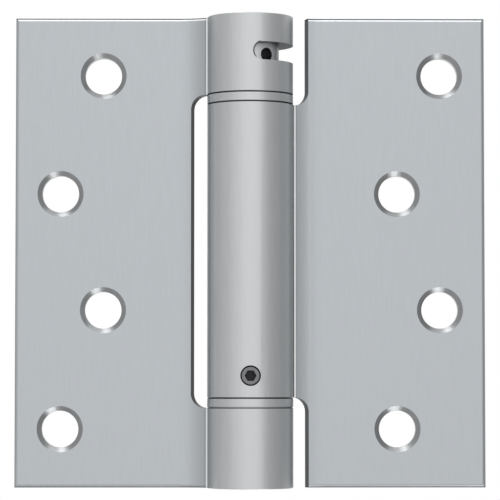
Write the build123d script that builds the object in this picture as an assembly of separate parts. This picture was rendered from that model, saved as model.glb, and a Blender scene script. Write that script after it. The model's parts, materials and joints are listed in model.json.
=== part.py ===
from build123d import *
from math import acos, asin, atan2, ceil, cos, degrees, hypot, radians, sin, sqrt, tan
import os

# Single action spring hinge with square corners, open flat. Sizes are in millimetres.
# Z is the pin axis and the origin is on it at mid-height. -Y is the side that shows the
# countersinks. The barrel leaf lies along +X and the knuckle leaf along -X.

# Leaves
LEAF_HEIGHT = 114.3
OPEN_WIDTH = 114.3
SHEET = 3.4
CLOSED_GAP = 1.6
EDGE_ROUND = 0.9

# Rolled knuckles
BARREL_DIAMETER = 20.9
TOP_KNUCKLE = 18.9
BOTTOM_KNUCKLE = 19.3
BEND_RADIUS = 14.0
CREASE_TILT = 31.0
CREASE_FILLET = 0.3
SEAM_GAP = 0.2
END_CHAMFER = 0.1
JOINT_CHAMFER = 0.1

# Cut-outs that clear the other leaf's knuckles, measured from the barrel's surface
KNUCKLE_LEAF_CLEARANCE = 3.95
BARREL_LEAF_CLEARANCE = 3.75
CUT_OUT_CORNER = 3.5

# Screw holes: two columns in each leaf, one shifted up and the other down
SCREW_HOLE_DIAMETER = 8.95
COUNTERSINK_DIAMETER = 11.2
COUNTERSINK_ANGLE = 100.0
INNER_COLUMN_INSET = 21.4
OUTER_COLUMN_INSET = 11.0
HOLE_SPACING = 57.15
COLUMN_SHIFT = 14.425

# Thrust rings, bushes and end caps
RING_THICKNESS = 2.4
RING_RELIEF = 0.14
RING_RIM = 0.22
RING_CHAMFER = 0.1
END_GAP = 0.06
BUSH_WALL = 0.8
BUSH_RECESS = 0.1
UPPER_BUSH_LENGTH = 9.0
LOWER_BUSH_LENGTH = 14.0
CAP_THICKNESS = 2.6
CAP_RECESS = 0.4
CAP_CHAMFER = 0.5

# Fits, as gaps on the radius or along the axis
RUN_CLEARANCE = 0.06
PRESS_CLEARANCE = 0.02
RING_CLEARANCE = 0.15
SEAT_GAP = 0.05
NOTCH_CLEARANCE = 0.1
COIL_CLEARANCE = 0.1
NOSE_CLEARANCE = 0.3

# Tension slot in the top knuckle and the pin holes of the spindle behind it
SLOT_HEIGHT = 4.4
SLOT_DEPTH_FROM_TOP = 9.15
SLOT_HALF_ANGLE = 73.0
PIN_HOLE_DIAMETER = 3.3
PIN_HOLE_DEPTH = 5.0
PIN_HOLE_DROP = 0.5
PIN_HOLE_COUNT = 4
PIN_HOLE_TURN = 34.5

# Tension spindle, torsion spring and lower pivot plug
JOURNAL_PROUD = 0.3
NOSE_LENGTH = 5.0
NOSE_CHAMFER = 0.6
CAP_GAP = 0.3
WIRE = 2.0
COIL_PITCH = 2.7
COIL_FACETS = 16
TANG_SIDE = 1.8
TANG_LENGTH = 4.0
LOWER_TANG_TURN = 90.0
PLUG_GRIP = 11.3
LOWER_JOURNAL = 15.0
TURNED_CHAMFER = 0.4

# Set screw that locks the plug in the barrel
SET_SCREW_DIAMETER = 4.8
SET_SCREW_HEIGHT = 5.25
SET_SCREW_SEAT = 3.0
SET_SCREW_RECESS = 0.5
SET_SCREW_CHAMFER = 0.3
HEX_ACROSS_FLATS = 2.5
HEX_DEPTH = 2.6

# Radii that follow from the sheet and the fits
barrel_r = BARREL_DIAMETER / 2
bore_r = barrel_r - SHEET
bush_bore_r = bore_r - BUSH_WALL
press_r = bore_r - PRESS_CLEARANCE
head_r = bore_r - RUN_CLEARANCE
journal_r = bush_bore_r - RUN_CLEARANCE
ring_bore_r = journal_r + RING_CLEARANCE
coil_outer_r = journal_r - COIL_CLEARANCE
coil_r = coil_outer_r - WIRE / 2
coil_inner_r = coil_outer_r - WIRE
nose_r = coil_inner_r - NOSE_CLEARANCE

# Levels along the pin, from the top down
top = LEAF_HEIGHT / 2
cap_top = top - CAP_RECESS
cap_bottom = cap_top - CAP_THICKNESS
slot_level = top - SLOT_DEPTH_FROM_TOP
pin_hole_level = slot_level - PIN_HOLE_DROP
top_knuckle_end = top - TOP_KNUCKLE
upper_ring_top = top_knuckle_end - END_GAP
upper_ring_bottom = upper_ring_top - RING_THICKNESS
barrel_top = upper_ring_bottom - END_GAP
upper_bush_top = barrel_top - BUSH_RECESS
upper_bush_bottom = upper_bush_top - UPPER_BUSH_LENGTH
journal_end = upper_bush_bottom - JOURNAL_PROUD
bottom = -top
bottom_knuckle_end = bottom + BOTTOM_KNUCKLE
lower_ring_bottom = bottom_knuckle_end + END_GAP
lower_ring_top = lower_ring_bottom + RING_THICKNESS
barrel_bottom = lower_ring_top + END_GAP
set_screw_level = barrel_bottom + SET_SCREW_HEIGHT
plug_top = barrel_bottom + PLUG_GRIP
plug_end = bottom_knuckle_end - LOWER_JOURNAL
lower_bush_top = bottom_knuckle_end - BUSH_RECESS
lower_bush_bottom = lower_bush_top - LOWER_BUSH_LENGTH

# Section of the sheet: the flat, then a bend that rises to the barrel's front
half_width = OPEN_WIDTH / 2
front = CLOSED_GAP / 2
back = front + SHEET
bend_y = front - BEND_RADIUS
back_radius = BEND_RADIUS + SHEET
crease_y = bend_y + BEND_RADIUS * cos(radians(CREASE_TILT))
crease_x = sqrt(barrel_r**2 - crease_y**2)
bend_start = crease_x + BEND_RADIUS * sin(radians(CREASE_TILT))

# Spring: a left-hand coil, which tightens as the spindle is wound clockwise from above
coil_start = plug_top + SEAT_GAP + WIRE / 2
coil_end = journal_end - SEAT_GAP - WIRE / 2
coil_turns = (coil_end - coil_start) / COIL_PITCH
upper_tang_turn = LOWER_TANG_TURN - 360 * coil_turns


def turned(*outline):
    """Solid of revolution about the pin axis, from (radius, level) points."""
    return revolve(Plane.XZ * make_face(Polyline(*outline, close=True)), Axis.Z)


def tube(outer_r, inner_r, low, high, bevel):
    """Turned ring with both outer rims bevelled."""
    return turned(
        (inner_r, low),
        (outer_r - bevel, low),
        (outer_r, low + bevel),
        (outer_r, high - bevel),
        (outer_r - bevel, high),
        (inner_r, high),
    )


def drill(radius):
    """Round cutter that starts at the origin, points along Z and reaches out of the barrel."""
    return Cylinder(radius, BARREL_DIAMETER, align=(Align.CENTER, Align.CENTER, Align.MIN))


def prism(face, low, high):
    """A flat section in the XY plane raised from one level to another."""
    return extrude(Pos(0, 0, low) * face, high - low)


def bend_angle_at(radius):
    """Turn of the bend at which its back face comes within a radius of the pin axis."""
    reach = hypot(bend_start, bend_y)
    ratio = (radius**2 - reach**2 - back_radius**2) / (2 * back_radius * reach)
    return degrees(acos(ratio) - atan2(bend_start, bend_y))


def bent_strip(near, far, angle):
    """Section of the bend between two distances from its centre, with no flat."""
    centre = (bend_start, bend_y)
    inner = CenterArc(centre, near, 90, angle)
    outer = CenterArc(centre, far, 90, angle)
    return make_face([inner, Line(inner @ 1, outer @ 1), outer, Line(outer @ 0, inner @ 0)])


def sheet_section():
    """Section of a whole leaf, from its outer edge to the bore of the barrel."""
    flat = Rectangle(half_width - bend_start, SHEET, align=(Align.MIN, Align.MIN))
    bend = bent_strip(BEND_RADIUS, back_radius, bend_angle_at(bore_r))
    return Pos(bend_start, front) * flat + bend - Circle(bore_r)


def knuckle_section():
    """Section of a rolled knuckle: the roll, the seam where its end meets the leaf, and the crease."""
    seam = bent_strip(back_radius, back_radius + SEAM_GAP, bend_angle_at(bore_r) + CREASE_TILT)
    root = sheet_section() & Circle(barrel_r + CREASE_FILLET)
    section = Circle(barrel_r) - Circle(bore_r) - seam + root
    crease = section.vertices().sort_by_distance((crease_x, crease_y, 0))[0]
    return fillet(crease, CREASE_FILLET)


def rim_cutter(level, outward, bevel):
    """Ring that bevels the barrel's rim at a level. Outward is 1 at an upper end and -1 at a lower one."""
    reach = barrel_r + CREASE_FILLET
    return turned(
        (barrel_r - bevel, level),
        (reach, level),
        (reach, level - outward * (reach - barrel_r + bevel)),
    )


def plate():
    """The bent sheet over its full height, with its front edges rounded."""
    sheet = prism(sheet_section(), bottom, top)
    flat = sheet.faces().filter_by(Axis.Y).sort_by(Axis.Y)[0]
    outline = flat.edges().sort_by(Axis.X)[1:]
    return fillet(outline, EDGE_ROUND)


def cut_out(clearance, low, high):
    """Clearance for a knuckle of the other leaf, punched square to the sheet where the bend has begun."""
    edge = barrel_r + clearance
    tilt = asin(max(0.0, bend_start - edge) / BEND_RADIUS)
    level = bend_y + BEND_RADIUS * cos(tilt)
    window = Pos(edge / 2, (low + high) / 2) * Rectangle(edge, high - low)
    window = fillet(window.vertices().group_by(Axis.X)[-1], CUT_OUT_CORNER)
    punch = Plane(origin=(0, level, 0), x_dir=(1, 0, 0), z_dir=(0, -1, 0)) * window
    return extrude(punch, barrel_r, dir=(-sin(tilt), cos(tilt), 0), both=True)


def screw_hole(inset, level):
    """Countersunk hole through the leaf, at an inset from the leaf's outer edge."""
    hole_r = SCREW_HOLE_DIAMETER / 2
    sink_r = COUNTERSINK_DIAMETER / 2
    sink_depth = (sink_r - hole_r) / tan(radians(COUNTERSINK_ANGLE / 2))
    bore = turned(
        (0, -2 * SHEET),
        (sink_r, -2 * SHEET),
        (sink_r, -SHEET),
        (hole_r, sink_depth - SHEET),
        (hole_r, SHEET),
        (0, SHEET),
    )
    return Pos(half_width - inset, back, level) * Rot(-90, 0, 0) * bore


def leaf(knuckles, cut_outs, raised_inset, lowered_inset):
    """A leaf along +X with its knuckles, given as levels, its cut-outs and its two columns of holes."""
    solid = plate() - cut_outs
    section = knuckle_section()
    for low, high in knuckles:
        low_bevel = END_CHAMFER if low == bottom else JOINT_CHAMFER
        high_bevel = END_CHAMFER if high == top else JOINT_CHAMFER
        roll = prism(section, low, high)
        solid += roll - rim_cutter(low, -1, low_bevel) - rim_cutter(high, 1, high_bevel)
    for inset, shift in ((raised_inset, COLUMN_SHIFT), (lowered_inset, -COLUMN_SHIFT)):
        for end in (-1, 1):
            solid -= screw_hole(inset, shift + end * HOLE_SPACING / 2)
    return solid


def tension_slot():
    """Slot round the knuckle's free side, with round ends, open for a pin or rod."""
    arc = CenterArc((0, 0), BARREL_DIAMETER, -SLOT_HALF_ANGLE, 2 * SLOT_HALF_ANGLE)
    sector = make_face([Line((0, 0), arc @ 0), arc, Line(arc @ 1, (0, 0))])
    slot = prism(sector, slot_level - SLOT_HEIGHT / 2, slot_level + SLOT_HEIGHT / 2)
    for turn in (-SLOT_HALF_ANGLE, SLOT_HALF_ANGLE):
        slot += Pos(0, 0, slot_level) * Rot(0, 0, turn) * Rot(0, 90, 0) * drill(SLOT_HEIGHT / 2)
    return slot


def knuckle_leaf():
    opening = cut_out(KNUCKLE_LEAF_CLEARANCE, bottom_knuckle_end, top_knuckle_end)
    knuckles = ((top_knuckle_end, top), (bottom, bottom_knuckle_end))
    solid = leaf(knuckles, opening, INNER_COLUMN_INSET, OUTER_COLUMN_INSET)
    return mirror(solid, Plane.YZ) - tension_slot()


def set_screw_hole(inner_r):
    """Round hole for the set screw, from a radius outwards on the front side."""
    hole = drill(SET_SCREW_DIAMETER / 2 + RUN_CLEARANCE)
    return Pos(0, -inner_r, set_screw_level) * Rot(90, 0, 0) * hole


def barrel_leaf():
    beyond = top + CUT_OUT_CORNER * 2
    upper = cut_out(BARREL_LEAF_CLEARANCE, barrel_top, beyond)
    lower = cut_out(BARREL_LEAF_CLEARANCE, -beyond, barrel_bottom)
    solid = leaf(((barrel_bottom, barrel_top),), upper + lower, OUTER_COLUMN_INSET, INNER_COLUMN_INSET)
    return solid - set_screw_hole(bore_r - SHEET)


def tang_notch(turn, low, high):
    """Notch in the end of a turned piece that takes the square tang of the spring."""
    width = TANG_SIDE + 2 * NOTCH_CLEARANCE
    inner = coil_r - width / 2
    notch = Box(barrel_r - inner, width, high - low, align=(Align.MIN, Align.CENTER, Align.MIN))
    return Rot(0, 0, turn) * Pos(inner, 0, low) * notch


def tension_spindle():
    seat = upper_ring_top + SEAT_GAP
    high = cap_bottom - CAP_GAP
    nose_end = journal_end - NOSE_LENGTH
    solid = turned(
        (0, nose_end),
        (nose_r - NOSE_CHAMFER, nose_end),
        (nose_r, nose_end + NOSE_CHAMFER),
        (nose_r, journal_end),
        (journal_r - TURNED_CHAMFER, journal_end),
        (journal_r, journal_end + TURNED_CHAMFER),
        (journal_r, seat),
        (head_r, seat),
        (head_r, high - TURNED_CHAMFER),
        (head_r - TURNED_CHAMFER, high),
        (0, high),
    )
    for number in range(PIN_HOLE_COUNT):
        turn = PIN_HOLE_TURN - 90 + number * 360 / PIN_HOLE_COUNT
        place = Pos(head_r - PIN_HOLE_DEPTH, 0, pin_hole_level) * Rot(0, 90, 0)
        pin_hole = place * drill(PIN_HOLE_DIAMETER / 2)
        solid -= Rot(0, 0, turn) * pin_hole
    return solid - tang_notch(upper_tang_turn, journal_end, journal_end + TANG_LENGTH + NOTCH_CLEARANCE)


def lower_pivot_plug():
    nose_end = plug_top + NOSE_LENGTH
    solid = turned(
        (0, plug_end),
        (journal_r - TURNED_CHAMFER, plug_end),
        (journal_r, plug_end + TURNED_CHAMFER),
        (journal_r, barrel_bottom),
        (press_r, barrel_bottom),
        (press_r, plug_top - TURNED_CHAMFER),
        (press_r - TURNED_CHAMFER, plug_top),
        (nose_r, plug_top),
        (nose_r, nose_end - NOSE_CHAMFER),
        (nose_r - NOSE_CHAMFER, nose_end),
        (0, nose_end),
    )
    solid -= tang_notch(LOWER_TANG_TURN, plug_top - TANG_LENGTH - NOTCH_CLEARANCE, plug_top)
    return solid - set_screw_hole(press_r - SET_SCREW_SEAT)


def plug_set_screw():
    low = press_r - SET_SCREW_SEAT + SEAT_GAP
    high = barrel_r - SET_SCREW_RECESS
    shank = tube(SET_SCREW_DIAMETER / 2, 0, low, high, SET_SCREW_CHAMFER)
    hexagon = RegularPolygon(HEX_ACROSS_FLATS / 2, 6, major_radius=False)
    screw = shank - prism(hexagon, high - HEX_DEPTH, high)
    return Pos(0, 0, set_screw_level) * Rot(90, 0, 0) * screw


def torsion_spring():
    steps = ceil(coil_turns * COIL_FACETS)
    section = Rot(90, 0, 0) * Rectangle(WIRE, WIRE)
    sections = []
    for step in range(steps + 1):
        turn = LOWER_TANG_TURN + (upper_tang_turn - LOWER_TANG_TURN) * step / steps
        level = coil_start + (coil_end - coil_start) * step / steps
        sections.append(Rot(0, 0, turn) * Pos(coil_r, 0, level) * section)
    coil = loft(sections, ruled=True)
    tang_height = TANG_LENGTH + SEAT_GAP + (WIRE + TANG_SIDE) / 2
    tang = Box(TANG_SIDE, TANG_SIDE, tang_height, align=(Align.CENTER, Align.CENTER, Align.MIN))
    lower = Rot(0, 0, LOWER_TANG_TURN) * Pos(coil_r, 0, plug_top - TANG_LENGTH) * tang
    upper = Rot(0, 0, upper_tang_turn) * Pos(coil_r, 0, coil_end - TANG_SIDE / 2) * tang
    return coil + lower + upper


def thrust_ring(low, high):
    """Ring whose bearing faces stand proud of its rim, which leaves a fine groove at each joint."""
    rim_low = low + RING_RELIEF
    rim_high = high - RING_RELIEF
    face_r = barrel_r - RING_RIM
    return turned(
        (ring_bore_r, low),
        (face_r, low),
        (face_r, rim_low),
        (barrel_r - RING_CHAMFER, rim_low),
        (barrel_r, rim_low + RING_CHAMFER),
        (barrel_r, rim_high - RING_CHAMFER),
        (barrel_r - RING_CHAMFER, rim_high),
        (face_r, rim_high),
        (face_r, high),
        (ring_bore_r, high),
    )


def cap(low, high):
    return tube(press_r, 0, low, high, CAP_CHAMFER)


pieces = {
    "knuckle_leaf": knuckle_leaf(),
    "barrel_leaf": barrel_leaf(),
    "top_cap": cap(cap_bottom, cap_top),
    "bottom_cap": cap(-cap_top, -cap_bottom),
    "upper_thrust_ring": thrust_ring(upper_ring_bottom, upper_ring_top),
    "lower_thrust_ring": thrust_ring(lower_ring_bottom, lower_ring_top),
    "upper_bush": tube(press_r, bush_bore_r, upper_bush_bottom, upper_bush_top, RING_CHAMFER),
    "lower_bush": tube(press_r, bush_bore_r, lower_bush_bottom, lower_bush_top, RING_CHAMFER),
    "tension_spindle": tension_spindle(),
    "torsion_spring": torsion_spring(),
    "lower_pivot_plug": lower_pivot_plug(),
    "plug_set_screw": plug_set_screw(),
}

os.makedirs("parts", exist_ok=True)
for name, solid in pieces.items():
    export_step(solid, os.path.join("parts", name + ".step"))
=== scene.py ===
import json
from math import cos, radians, sin
from types import SimpleNamespace

import bpy
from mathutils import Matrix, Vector


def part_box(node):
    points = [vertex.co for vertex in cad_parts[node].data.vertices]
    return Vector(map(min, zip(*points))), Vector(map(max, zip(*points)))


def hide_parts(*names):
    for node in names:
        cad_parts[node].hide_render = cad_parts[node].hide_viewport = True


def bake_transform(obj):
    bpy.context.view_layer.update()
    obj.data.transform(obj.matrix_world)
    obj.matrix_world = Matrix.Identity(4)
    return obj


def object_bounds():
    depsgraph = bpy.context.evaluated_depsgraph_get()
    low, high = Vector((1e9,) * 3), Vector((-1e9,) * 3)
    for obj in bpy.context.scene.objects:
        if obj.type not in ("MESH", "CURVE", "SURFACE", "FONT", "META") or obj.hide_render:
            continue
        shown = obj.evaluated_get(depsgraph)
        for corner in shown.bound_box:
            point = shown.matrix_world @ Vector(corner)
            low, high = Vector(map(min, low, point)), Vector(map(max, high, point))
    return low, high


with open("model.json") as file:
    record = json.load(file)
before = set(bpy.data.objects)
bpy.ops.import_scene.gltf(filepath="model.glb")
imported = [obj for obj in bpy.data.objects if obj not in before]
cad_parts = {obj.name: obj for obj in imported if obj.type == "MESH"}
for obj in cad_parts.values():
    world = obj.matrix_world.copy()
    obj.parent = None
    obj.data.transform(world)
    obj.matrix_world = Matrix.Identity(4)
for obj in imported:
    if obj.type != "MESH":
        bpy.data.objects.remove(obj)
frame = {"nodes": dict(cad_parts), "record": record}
cad_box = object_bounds()

# Studio, in metres and degrees. The hinge faces -Y.
CAMERA_PLACE = (-0.0061, -0.640, -0.032)
CAMERA_TARGET = (-0.00005, 0.0, 0.00045)
CAMERA_ANGLE = 10.83
CAMERA_CLIP_START = 0.01
FLOOR_LEVEL = -0.60
FLOOR_SIZE = 3.0
FLOOR_MIDDLE_Y = -0.9
CARD_DISTANCE = 0.45
CARD_HEIGHT = 1.2

# Soft lamps: name, place, width and depth, and power
LAMPS = (
    ("front_lamp", (0.0, -0.45, 0.68), (0.80, 0.30), 2.1),
    ("top_lamp", (-0.18, -0.08, 0.70), (0.28, 0.26), 0.52),
    ("low_lamp", (0.15, -0.10, -0.56), (0.24, 0.24), 0.45),
)

# Grey cards round the hinge: name, first and last bearing from the front, and grey level.
# Bearings run to the right of the camera.
CARDS = (
    ("right_front_card", 34, 60, 0.50),
    ("right_side_card", 60, 98, 0.42),
    ("right_back_card", 98, 132, 0.46),
    ("right_rear_card", 132, 165, 0.46),
    ("left_front_card", -24, -52, 0.82),
    ("left_side_card", -52, -95, 0.63),
    ("left_back_card", -95, -165, 0.48),
)

# Finishes, and painted light and shade, as linear colours
PLATE = (0.512, 0.540, 0.563)
# Painted shade on the left leaf's bend and a painted highlight on the right leaf's bend
LEFT_BEND_SHADE = (0.470, 0.495, 0.517)
RIGHT_BEND_HIGHLIGHT = (0.590, 0.622, 0.648)
# Painted shade along the leaf's side of the crease
LIP_SHADE = (0.350, 0.365, 0.380)
BARREL_PLATE = (0.620, 0.634, 0.645)
# Painted highlight on the barrel's sides, and painted shade on its left side and along its outer
# edges
BARREL_SIDE_HIGHLIGHT = (0.860, 0.885, 0.890)
BARREL_LEFT_SHADE = (0.73, 0.75, 0.755)
BARREL_LEFT_EDGE_SHADE = (0.52, 0.535, 0.54)
BARREL_RIGHT_EDGE_SHADE = (0.36, 0.37, 0.375)
# Painted shade in the countersinks
COUNTERSINK_SHADE = (0.380, 0.390, 0.398)
# Painted highlight along the crease between barrel and leaf
CREASE_HIGHLIGHT = (0.92, 0.93, 0.94)
# Painted shade on the cut faces of the leaves and roll, lighter on the right leaf
CUT_EDGE_SHADE = (0.145, 0.150, 0.156)
RIGHT_CUT_EDGE_SHADE = (0.205, 0.212, 0.220)
# Painted light on the shaded roof of the slot
SLOT_ROOF_LIGHT = (0.55, 0.56, 0.57)
# Painted shade in the grooves at the thrust rings, lighter in the lowest, and along the right
# crease and the slot's end
GROOVE_SHADE = (0.07, 0.072, 0.075)
LOWEST_GROOVE_SHADE = (0.45, 0.457, 0.465)
# Painted shade along the leaves' top and bottom edges, darker at the top and on the right leaf's
# bottom
RIM_SHADE = (0.05, 0.052, 0.055)
LOWER_RIM_SHADE = (0.30, 0.31, 0.32)
LOWER_RIGHT_RIM_SHADE = (0.15, 0.155, 0.16)
BRONZE = (0.55, 0.38, 0.20)
TURNED = (0.70, 0.71, 0.73)
# Painted shade inside the spindle's pin holes
PIN_HOLE_SHADE = (0.30, 0.30, 0.31)
WIRE_DARK = (0.20, 0.20, 0.21)
SCREW_FACE = (0.225, 0.225, 0.235)
# Painted shade in the set screw's socket and on its side
SOCKET_SHADE = (0.045, 0.046, 0.048)
FLOOR_PAPER = (0.68, 0.68, 0.68)

# Tint of the gloss at grazing angles
PLATE_SHEEN = (1.0, 1.0, 1.0)
CUT_EDGE_SHEEN = (0.6, 0.6, 0.6)
SLOT_SHEEN = (0.42, 0.42, 0.42)

# Roughness, and how metallic the crease under its painted highlight is
PLATE_ROUGHNESS = 0.36
CREASE_ROUGHNESS = 0.5
COUNTERSINK_ROUGHNESS = 0.29
TURNED_ROUGHNESS = 0.38
WIRE_ROUGHNESS = 0.38
SCREW_ROUGHNESS = 0.42
BRONZE_ROUGHNESS = 0.45
PAPER_ROUGHNESS = 0.9
CREASE_METALLIC = 0.4

# Grain: the noise's scale and its stretch along X, Y and Z
EVEN = (1.0, 1.0, 1.0)
PLATE_GRAIN = (1600.0, (1.0, 1.0, 0.12))
TURNED_GRAIN = (4000.0, (0.05, 0.05, 1.0))
SCREW_GRAIN = (1500.0, EVEN)
PLAIN_GRAIN = (900.0, EVEN)
PAPER_GRAIN = (30.0, EVEN)
GRAIN_DETAIL = 3.0
GRAIN_RANGE = (0.3, 0.7)
GRAIN_DEPTH = 0.000008

# How far the grain moves a colour or the roughness to either side
PLATE_CONTRAST = 0.02
CUT_CONTRAST = 0.1
METAL_CONTRAST = 0.06
SCREW_CONTRAST = 0.08
PAPER_CONTRAST = 0.01
ROUGHNESS_CONTRAST = 0.06

# Places on the hinge, in metres from the pin axis and from mid-height
HALF_HEIGHT = cad_box[1].z
BARREL_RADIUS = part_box("upper_thrust_ring")[1].x
HEAD_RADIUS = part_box("tension_spindle")[1].x
LOWER_KNUCKLE_TOP, BARREL_BOTTOM = [corner.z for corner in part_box("lower_thrust_ring")]
BARREL_TOP, UPPER_KNUCKLE_BOTTOM = [corner.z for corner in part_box("upper_thrust_ring")]
SCREW_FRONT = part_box("plug_set_screw")[0].y
MOUNTS = {mount["name"]: mount for mount in frame["record"]["mounts"]}
PIN_HOLE_LEVEL = MOUNTS["tension_pin_hole"]["pos_m"][2]
SLOT_DROP = 0.00915
SLOT_LEVEL = HALF_HEIGHT - SLOT_DROP
SLOT_RADIUS = 0.0022
SLOT_END_BEARING = radians(73)

# A ramp is a pair: 0 at the first value and 1 at the second. A band has four values:
# where it begins, where it is full, where it begins to fade, and where it ends.
HAIR = 0.0001

# Measured out from the barrel's skin, in metres
ON_BARREL = (0.0003, 0.0001)
THROUGH_WALL_REACH = (0.0001, -0.00005)
LEFT_CREASE = (0.00002, 0.00006, 0.00028, 0.00038)
RIGHT_CREASE = (0.00016, 0.00022, 0.00062, 0.00072)
LEFT_LIP = (0.00032, 0.00040, 0.00058, 0.00066)
RIGHT_LIP = (0.00068, 0.00078, 0.00080, 0.00090)
RIGHT_SEAM = (0.0, 0.00004, 0.00016, 0.00022)
RING_GROOVE = (-0.00040, -0.00035, -0.00016, -0.00012)
BEND_START = (0.0005, 0.0007)
GLEAM_START = (0.0003, 0.0005)

# Measured from the pin axis
BEND_STOP = (0.0150, 0.0125)
WALL_START = (0.0117, 0.0122)
WALL_STOP = (0.0172, 0.0168)
HOLES_START = (0.019, 0.020)
PIN_HOLE_INSIDE = (HEAD_RADIUS - 0.0001, HEAD_RADIUS - 0.0003)

# Heights, and distances in from the leaves' outer edges
MIDDLE_BARREL = (BARREL_BOTTOM, BARREL_BOTTOM + HAIR, BARREL_TOP - HAIR, BARREL_TOP)
UPPER_KNUCKLE = (UPPER_KNUCKLE_BOTTOM, UPPER_KNUCKLE_BOTTOM + HAIR)
LOWER_KNUCKLE = (LOWER_KNUCKLE_TOP, LOWER_KNUCKLE_TOP - HAIR)
ABOVE_LOWEST_GROOVE = (LOWER_KNUCKLE_TOP + 0.0008, LOWER_KNUCKLE_TOP + 0.0010)
UPPER_HALF = (0.0, 0.001)
TOP_GLEAM = tuple(HALF_HEIGHT - drop for drop in (0.0010, 0.0008, 0.00044, 0.00034))
EDGE_RIM = (HALF_HEIGHT - 0.00042, HALF_HEIGHT - 0.0003)
INSIDE_EDGE = (HALF_HEIGHT - 0.0011, HALF_HEIGHT - 0.0013)
HOLES_STOP = (HALF_HEIGHT - 0.004, HALF_HEIGHT - 0.005)
PIN_HOLE_REACH = (0.0021, 0.0019)

# Round the slot, from its level and from its end's middle
SLOT_WALL = (SLOT_RADIUS + 0.00030, SLOT_RADIUS + 0.00024)
SLOT_END_SIDE = (-0.0003, -0.0010)
SLOT_END_RISE = (-0.0019, -0.0012)
SLOT_UPPER_HALF = (0.0, 0.0005)
SLOT_ROOF_SPAN = (0.0020, 0.0040, 0.0050, 0.0070)

# Depth behind the set screw's face
BELOW_SCREW_FACE = (SCREW_FRONT + 0.00005, SCREW_FRONT + 0.00015)

# Parts of the normal along an axis, without their sign
SIDEWAYS = (0.6, 0.75)
BARREL_SIDE_TURN = (0.72, 0.86)
LEFT_SHADE_TURN = (0.81, 0.86, 0.89, 0.94)
LEFT_EDGE_TURN = (0.79, 0.99)
RIGHT_EDGE_TURN = (0.878, 1.0)
END_WALL_LEAN = (0.5, 0.65)
GLEAM_LEAN = (0.2, 0.35)
LEVEL = (0.35, 0.25)
NOT_UPRIGHT = (0.995, 0.985)
NOT_RADIAL = (0.5, 0.35)
CONE_LEAN = (0.92, 0.88)


def socket(tree, value, target):
    """Feeds a shader input from another node's output or from a plain value."""
    if isinstance(value, bpy.types.NodeSocket):
        tree.links.new(value, target)
    else:
        target.default_value = value


def calc(tree, operation, first, second=0.0):
    node = tree.nodes.new("ShaderNodeMath")
    node.operation = operation
    socket(tree, first, node.inputs[0])
    socket(tree, second, node.inputs[1])
    return node.outputs["Value"]


def rise(tree, value, low, high):
    """0 below low and 1 above high, with a straight ramp between. Swapped ends make it fall."""
    node = tree.nodes.new("ShaderNodeMapRange")
    socket(tree, value, node.inputs["Value"])
    node.inputs["From Min"].default_value = low
    node.inputs["From Max"].default_value = high
    return node.outputs["Result"]


def both(tree, *shares):
    """1 where every share is 1."""
    whole = shares[0]
    for share in shares[1:]:
        whole = calc(tree, "MULTIPLY", whole, share)
    return whole


def either(tree, *shares):
    """The largest of the shares."""
    whole = shares[0]
    for share in shares[1:]:
        whole = calc(tree, "MAXIMUM", whole, share)
    return whole


def band(tree, value, begin, full, fade, end):
    """1 from full to fade, and 0 before begin and after end."""
    return both(tree, rise(tree, value, begin, full), rise(tree, value, end, fade))


def inverse(tree, share):
    return calc(tree, "SUBTRACT", 1.0, share)


def blend_colours(tree, share, first, second):
    """The first colour where the share is 0 and the second where it is 1."""
    node = tree.nodes.new("ShaderNodeMix")
    node.data_type = "RGBA"
    inputs = [entry for entry in node.inputs if entry.type == "RGBA"]
    socket(tree, share, node.inputs["Factor"])
    for value, target in zip((first, second), inputs):
        socket(tree, (*value, 1.0) if isinstance(value, tuple) else value, target)
    return [entry for entry in node.outputs if entry.type == "RGBA"][0]


def blend_numbers(tree, share, first, second):
    """The first number where the share is 0 and the second where it is 1."""
    node = tree.nodes.new("ShaderNodeMix")
    socket(tree, share, node.inputs[0])
    socket(tree, first, node.inputs[2])
    socket(tree, second, node.inputs[3])
    return node.outputs[0]


def scaled(colour, factor):
    return tuple(channel * factor for channel in colour)


def along_axes(tree, output):
    """The three parts of a place or a normal in the object's own frame."""
    coordinates = tree.nodes.new("ShaderNodeTexCoord")
    parts = tree.nodes.new("ShaderNodeSeparateXYZ")
    tree.links.new(coordinates.outputs[output], parts.inputs["Vector"])
    return [parts.outputs[axis] for axis in "XYZ"]


def from_axis(tree, first, second):
    """Distance from an axis, by the two offsets across it."""
    squares = [calc(tree, "MULTIPLY", offset, offset) for offset in (first, second)]
    return calc(tree, "SQRT", calc(tree, "ADD", *squares))


def grain(tree, scale, stretch):
    """Fine noise in the object's own frame, drawn out along its axes."""
    coordinates = tree.nodes.new("ShaderNodeTexCoord")
    mapping = tree.nodes.new("ShaderNodeMapping")
    mapping.inputs["Scale"].default_value = stretch
    noise = tree.nodes.new("ShaderNodeTexNoise")
    noise.inputs["Scale"].default_value = scale
    noise.inputs["Detail"].default_value = GRAIN_DETAIL
    tree.links.new(coordinates.outputs["Object"], mapping.inputs["Vector"])
    tree.links.new(mapping.outputs["Vector"], noise.inputs["Vector"])
    return rise(tree, noise.outputs["Fac"], *GRAIN_RANGE)


def grained(tree, fleck, colour, contrast):
    """A colour that the grain darkens and lightens by its contrast."""
    dark, light = scaled(colour, 1.0 - contrast), scaled(colour, 1.0 + contrast)
    return blend_colours(tree, fleck, dark, light)


def varied(tree, fleck, roughness):
    """A roughness that follows the grain a little way to either side."""
    node = tree.nodes.new("ShaderNodeMapRange")
    tree.links.new(fleck, node.inputs["Value"])
    node.inputs["To Min"].default_value = roughness * (1.0 - ROUGHNESS_CONTRAST)
    node.inputs["To Max"].default_value = roughness * (1.0 + ROUGHNESS_CONTRAST)
    return node.outputs["Result"]


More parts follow.
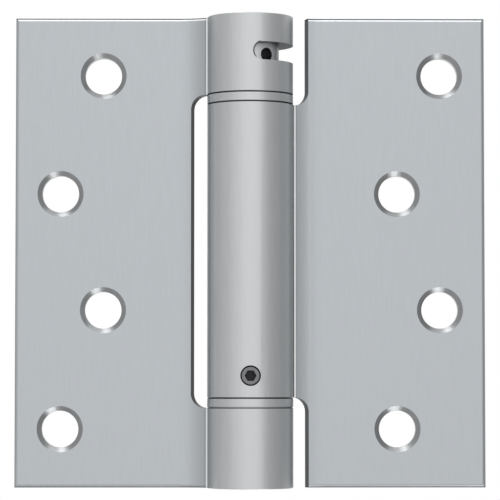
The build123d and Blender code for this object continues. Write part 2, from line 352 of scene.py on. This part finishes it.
def metal(name):
    """A new material whose shader is bare metal."""
    material = bpy.data.materials.new(name)
    material.use_nodes = True
    shader = material.node_tree.nodes["Principled BSDF"]
    shader.inputs["Metallic"].default_value = 1.0
    return material, material.node_tree, shader


def surface(tree, shader, fleck, colour, roughness):
    """Gives the shader its colour, its roughness and fine hollows that follow the grain."""
    tree.links.new(colour, shader.inputs["Base Color"])
    tree.links.new(roughness, shader.inputs["Roughness"])
    relief = tree.nodes.new("ShaderNodeBump")
    relief.inputs["Distance"].default_value = GRAIN_DEPTH
    tree.links.new(fleck, relief.inputs["Height"])
    tree.links.new(relief.outputs["Normal"], shader.inputs["Normal"])


def plain_metal(name, colour, roughness):
    """Metal of one colour with a grain in it."""
    material, tree, shader = metal(name)
    fleck = grain(tree, *PLAIN_GRAIN)
    grey = grained(tree, fleck, colour, METAL_CONTRAST)
    surface(tree, shader, fleck, grey, varied(tree, fleck, roughness))
    return material


def plate_places(tree):
    """Where a point of the rolled sheet is and how it faces, in the terms of the masks."""
    x, y, z = along_axes(tree, "Object")
    normal = along_axes(tree, "Normal")
    across, facing, upright = [calc(tree, "ABSOLUTE", part) for part in normal]
    radius = from_axis(tree, x, y)
    into_leaf = calc(tree, "SUBTRACT", radius, BARREL_RADIUS)
    leans = [calc(tree, "MULTIPLY", place, part) for place, part in zip((x, y), normal)]
    radial = calc(tree, "DIVIDE", calc(tree, "ADD", *leans), radius)
    height = calc(tree, "ABSOLUTE", z)
    along_slot = calc(
        tree,
        "SUBTRACT",
        calc(tree, "MULTIPLY", x, sin(SLOT_END_BEARING)),
        calc(tree, "MULTIPLY", calc(tree, "ABSOLUTE", y), cos(SLOT_END_BEARING)),
    )
    return SimpleNamespace(
        x=x,
        z=z,
        across=across,
        facing=facing,
        upright=upright,
        radius=radius,
        into_leaf=into_leaf,
        radial=calc(tree, "ABSOLUTE", radial),
        height=height,
        outward=calc(tree, "MAXIMUM", calc(tree, "ABSOLUTE", x), height),
        along_slot=along_slot,
        above_slot=calc(tree, "SUBTRACT", z, SLOT_LEVEL),
        on_barrel=rise(tree, into_leaf, *ON_BARREL),
        on_right=rise(tree, x, 0.0, HAIR),
        on_left=rise(tree, x, 0.0, -HAIR),
    )


def crease_highlight_mask(tree, at):
    """A painted highlight along the crease between barrel and leaf, and a painted gleam at the top
    of the left bend.
    """
    bend_gleam = both(
        tree,
        at.on_left,
        band(tree, at.z, *TOP_GLEAM),
        rise(tree, at.upright, *GLEAM_LEAN),
        rise(tree, at.into_leaf, *GLEAM_START),
        rise(tree, at.radius, *BEND_STOP),
    )
    return either(
        tree,
        both(tree, at.on_left, band(tree, at.into_leaf, *LEFT_CREASE)),
        both(tree, at.on_right, band(tree, at.into_leaf, *RIGHT_CREASE)),
        bend_gleam,
    )


def lip_shade_mask(tree, at):
    """A painted shade line along the leaf's side of the crease."""
    return either(
        tree,
        both(tree, at.on_left, band(tree, at.into_leaf, *LEFT_LIP)),
        both(tree, at.on_right, band(tree, at.into_leaf, *RIGHT_LIP)),
    )


def end_wall_mask(tree, at):
    """Cut faces that look up or down, apart from the hinge's own two ends."""
    return both(
        tree,
        rise(tree, at.upright, *END_WALL_LEAN),
        rise(tree, at.height, *INSIDE_EDGE),
    )


def through_wall_mask(tree, at):
    """Walls of the openings that go through the roll."""
    return both(
        tree,
        rise(tree, at.radial, *NOT_RADIAL),
        rise(tree, at.upright, *LEVEL),
        rise(tree, at.into_leaf, *THROUGH_WALL_REACH),
    )


def slot_end_mask(tree, at):
    """A painted shadow line round the slot's closed end."""
    from_middle = from_axis(tree, at.along_slot, at.above_slot)
    return both(
        tree,
        rise(tree, from_middle, *SLOT_WALL),
        rise(tree, at.along_slot, *SLOT_END_SIDE),
        rise(tree, at.above_slot, *SLOT_END_RISE),
    )


def leaf_colour(tree, fleck, at):
    """The flat leaves, with painted shade on the left bend and a painted highlight on the right
    bend.
    """
    on_bend = both(
        tree,
        rise(tree, at.into_leaf, *BEND_START),
        rise(tree, at.radius, *BEND_STOP),
    )
    bend = blend_colours(tree, at.on_right, LEFT_BEND_SHADE, RIGHT_BEND_HIGHLIGHT)
    return blend_colours(tree, on_bend, grained(tree, fleck, PLATE, PLATE_CONTRAST), bend)


def barrel_colour(tree, fleck, at):
    """The roll, with a painted highlight at its sides and painted shade on its left and along its
    outer edges.
    """
    on_middle = band(tree, at.z, *MIDDLE_BARREL)
    on_knuckle = either(
        tree,
        rise(tree, at.z, *UPPER_KNUCKLE),
        rise(tree, at.z, *LOWER_KNUCKLE),
    )
    on_side = rise(tree, at.across, *BARREL_SIDE_TURN)
    left_shade = both(
        tree,
        at.on_left,
        inverse(tree, on_knuckle),
        band(tree, at.across, *LEFT_SHADE_TURN),
    )
    left_edge = both(tree, on_knuckle, at.on_left, rise(tree, at.across, *LEFT_EDGE_TURN))
    right_edge = both(tree, on_middle, at.on_right, rise(tree, at.across, *RIGHT_EDGE_TURN))

    colour = grained(tree, fleck, BARREL_PLATE, PLATE_CONTRAST)
    colour = blend_colours(tree, on_side, colour, BARREL_SIDE_HIGHLIGHT)
    colour = blend_colours(tree, left_shade, colour, BARREL_LEFT_SHADE)
    colour = blend_colours(tree, left_edge, colour, BARREL_LEFT_EDGE_SHADE)
    return blend_colours(tree, right_edge, colour, BARREL_RIGHT_EDGE_SHADE)


def rim_colour(tree, at):
    """Painted shade in a thin line along the leaves' top and bottom edges."""
    lower = blend_colours(tree, at.on_right, LOWER_RIM_SHADE, LOWER_RIGHT_RIM_SHADE)
    return blend_colours(tree, rise(tree, at.z, *UPPER_HALF), lower, RIM_SHADE)


def satin_plate():
    """Satin plate, brighter on the barrel, with painted light and shade: highlights in the crease,
    on the right bend, the barrel's sides and the slot's roof, and shade at the cut edges, grooves,
    rims, countersinks and left bend.
    """
    material, tree, shader = metal("satin_plate")
    fleck = grain(tree, *PLATE_GRAIN)
    at = plate_places(tree)

    # Painted highlight: the crease line and the gleam at the left bend's top
    crease_highlight = crease_highlight_mask(tree, at)
    # Painted shade along the right crease
    right_seam = both(tree, at.on_right, band(tree, at.into_leaf, *RIGHT_SEAM))
    # Painted shade in the countersinks
    countersink = both(
        tree,
        rise(tree, at.facing, *CONE_LEAN),
        rise(tree, at.outward, *HOLES_STOP),
        rise(tree, at.radius, *HOLES_START),
    )
    side_wall = both(
        tree,
        rise(tree, at.across, *SIDEWAYS),
        rise(tree, at.radius, *WALL_START),
    )
    end_wall = end_wall_mask(tree, at)
    near_barrel = rise(tree, at.radius, *WALL_STOP)
    cut = both(tree, either(tree, side_wall, end_wall), near_barrel)
    cut = either(tree, cut, through_wall_mask(tree, at))
    slot_wall = both(tree, end_wall, at.on_barrel)
    # Painted light on the slot's roof
    slot_roof = both(
        tree,
        slot_wall,
        rise(tree, at.above_slot, *SLOT_UPPER_HALF),
        band(tree, at.x, *SLOT_ROOF_SPAN),
    )
    # Painted shade along the leaves' top and bottom edges
    rim = both(
        tree,
        rise(tree, at.height, *EDGE_RIM),
        rise(tree, at.upright, *NOT_UPRIGHT),
        inverse(tree, at.on_barrel),
    )
    # Painted shade in the ring grooves and round the slot's end
    in_groove = either(
        tree,
        band(tree, at.into_leaf, *RING_GROOVE),
        slot_end_mask(tree, at),
    )

    # Painted shade on the cut faces, lighter on the right leaf's side walls
    cut_edge_shade = grained(tree, fleck, CUT_EDGE_SHADE, CUT_CONTRAST)
    cut_edge_shade = blend_colours(tree, both(tree, side_wall, at.on_right), cut_edge_shade, RIGHT_CUT_EDGE_SHADE)
    above_lowest = rise(tree, at.z, *ABOVE_LOWEST_GROOVE)
    groove = blend_colours(tree, above_lowest, LOWEST_GROOVE_SHADE, GROOVE_SHADE)
    colour = blend_colours(
        tree,
        at.on_barrel,
        leaf_colour(tree, fleck, at),
        barrel_colour(tree, fleck, at),
    )
    layers = (
        (lip_shade_mask(tree, at), LIP_SHADE),
        (crease_highlight, CREASE_HIGHLIGHT),
        (right_seam, GROOVE_SHADE),
        (countersink, COUNTERSINK_SHADE),
        (cut, cut_edge_shade),
        (slot_roof, SLOT_ROOF_LIGHT),
        (rim, rim_colour(tree, at)),
        (in_groove, groove),
    )
    for share, layer in layers:
        colour = blend_colours(tree, share, colour, layer)

    roughness = varied(tree, fleck, PLATE_ROUGHNESS)
    roughness = blend_numbers(tree, crease_highlight, roughness, CREASE_ROUGHNESS)
    roughness = blend_numbers(tree, countersink, roughness, COUNTERSINK_ROUGHNESS)
    surface(tree, shader, fleck, colour, roughness)
    sheen = blend_colours(tree, cut, PLATE_SHEEN, CUT_EDGE_SHEEN)
    sheen = blend_colours(tree, slot_wall, sheen, SLOT_SHEEN)
    tree.links.new(sheen, shader.inputs["Specular Tint"])
    metallic = blend_numbers(tree, crease_highlight, 1.0, CREASE_METALLIC)
    tree.links.new(metallic, shader.inputs["Metallic"])
    return material


def turned_steel():
    """Turned steel with faint tool marks round the axis, and painted shade inside the pin holes."""
    material, tree, shader = metal("turned_steel")
    fleck = grain(tree, *TURNED_GRAIN)
    x, y, z = along_axes(tree, "Object")
    level = calc(tree, "ABSOLUTE", calc(tree, "SUBTRACT", z, PIN_HOLE_LEVEL))
    inside = both(
        tree,
        rise(tree, from_axis(tree, x, y), *PIN_HOLE_INSIDE),
        rise(tree, level, *PIN_HOLE_REACH),
    )
    colour = grained(tree, fleck, TURNED, METAL_CONTRAST)
    colour = blend_colours(tree, inside, colour, PIN_HOLE_SHADE)
    surface(tree, shader, fleck, colour, varied(tree, fleck, TURNED_ROUGHNESS))
    return material


def screw_steel():
    """The set screw's face, with painted shade in its socket and on its side."""
    material, tree, shader = metal("screw_steel")
    fleck = grain(tree, *SCREW_GRAIN)
    _, y, _ = along_axes(tree, "Object")
    below_face = rise(tree, y, *BELOW_SCREW_FACE)
    colour = grained(tree, fleck, SCREW_FACE, SCREW_CONTRAST)
    colour = blend_colours(tree, below_face, colour, SOCKET_SHADE)
    surface(tree, shader, fleck, colour, varied(tree, fleck, SCREW_ROUGHNESS))
    return material


def dress_nodes():
    """Each CAD node takes the finish of its slot in the record."""
    finishes = {
        "satin_plate": satin_plate(),
        "bush_bronze": plain_metal("bush_bronze", BRONZE, BRONZE_ROUGHNESS),
        "turned_steel": turned_steel(),
        "spring_steel": plain_metal("spring_steel", WIRE_DARK, WIRE_ROUGHNESS),
        "screw_steel": screw_steel(),
    }
    for part in frame["record"]["subparts"]:
        node = frame["nodes"][part["node"]]
        node.data.materials.clear()
        node.data.materials.append(finishes[part["material_slot"]])


def wound_spring():
    """The spring as a copy of its CAD node's mesh; the real spring twists.

    Its lower tang stays in the plug and its upper tang turns with the spindle.
    """
    node = frame["nodes"]["torsion_spring"]
    spring = bpy.data.objects.new("wound_spring", node.data.copy())
    bpy.context.collection.objects.link(spring)
    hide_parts("torsion_spring")
    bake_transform(spring)


def plane(name, middle, size, rotation):
    """A flat sheet that belongs to the set and not to the hinge."""
    bpy.ops.mesh.primitive_plane_add(size=1.0, location=middle, rotation=rotation)
    sheet = bpy.context.object
    sheet.name = name
    sheet.scale = (*size, 1.0)
    return sheet


def round_axis(bearing):
    """The place of a card's end at a bearing, at mid-height."""
    turn = radians(bearing)
    return Vector((sin(turn), -cos(turn), 0.0)) * CARD_DISTANCE


def card(name, first, last, level):
    """An upright grey card between two bearings, for the metal to reflect, unseen by the camera."""
    start, end = round_axis(first), round_axis(last)
    run = end - start
    turn = Vector((1.0, 0.0)).angle_signed(run.to_2d())
    size = (run.length, CARD_HEIGHT)
    sheet = plane(name, (start + end) / 2, size, (radians(90), 0.0, -turn))
    sheet.visible_camera = False
    material = bpy.data.materials.new(name)
    material.use_nodes = True
    shader = material.node_tree.nodes["Principled BSDF"]
    shader.inputs["Base Color"].default_value = (0.0, 0.0, 0.0, 1.0)
    shader.inputs["Specular IOR Level"].default_value = 0.0
    shader.inputs["Emission Color"].default_value = (level, level, level, 1.0)
    shader.inputs["Emission Strength"].default_value = 1.0
    sheet.data.materials.append(material)


def floor():
    middle = (0.0, FLOOR_MIDDLE_Y, FLOOR_LEVEL)
    sheet = plane("floor", middle, (FLOOR_SIZE, FLOOR_SIZE), (0.0, 0.0, 0.0))
    material = bpy.data.materials.new("floor_paper")
    material.use_nodes = True
    tree = material.node_tree
    shader = tree.nodes["Principled BSDF"]
    fleck = grain(tree, *PAPER_GRAIN)
    paper = grained(tree, fleck, FLOOR_PAPER, PAPER_CONTRAST)
    tree.links.new(paper, shader.inputs["Base Color"])
    shader.inputs["Roughness"].default_value = PAPER_ROUGHNESS
    sheet.data.materials.append(material)


def white_world():
    world = bpy.data.worlds.new("white_studio")
    world.use_nodes = True
    background = world.node_tree.nodes["Background"]
    background.inputs["Color"].default_value = (1.0, 1.0, 1.0, 1.0)
    background.inputs["Strength"].default_value = 1.0
    bpy.context.scene.world = world


def aimed(name, data, place, target):
    """A lamp or a camera at a place, looking at a target."""
    holder = bpy.data.objects.new(name, data)
    holder.location = place
    sight = Vector(target) - Vector(place)
    holder.rotation_euler = sight.to_track_quat("-Z", "Y").to_euler()
    bpy.context.collection.objects.link(holder)
    return holder


def soft_lamp(name, place, size, power):
    lamp = bpy.data.lights.new(name, "AREA")
    lamp.shape = "RECTANGLE"
    lamp.size, lamp.size_y = size
    lamp.energy = power
    aimed(name, lamp, place, (0.0, 0.0, 0.0))


def camera():
    lens = bpy.data.cameras.new("camera")
    lens.sensor_fit = "HORIZONTAL"
    lens.angle = radians(CAMERA_ANGLE)
    lens.clip_start = CAMERA_CLIP_START
    bpy.context.scene.camera = aimed("camera", lens, CAMERA_PLACE, CAMERA_TARGET)


dress_nodes()
wound_spring()
white_world()
floor()
for entry in CARDS:
    card(*entry)
for entry in LAMPS:
    soft_lamp(*entry)
camera()
bpy.context.scene.view_settings.view_transform = "Standard"
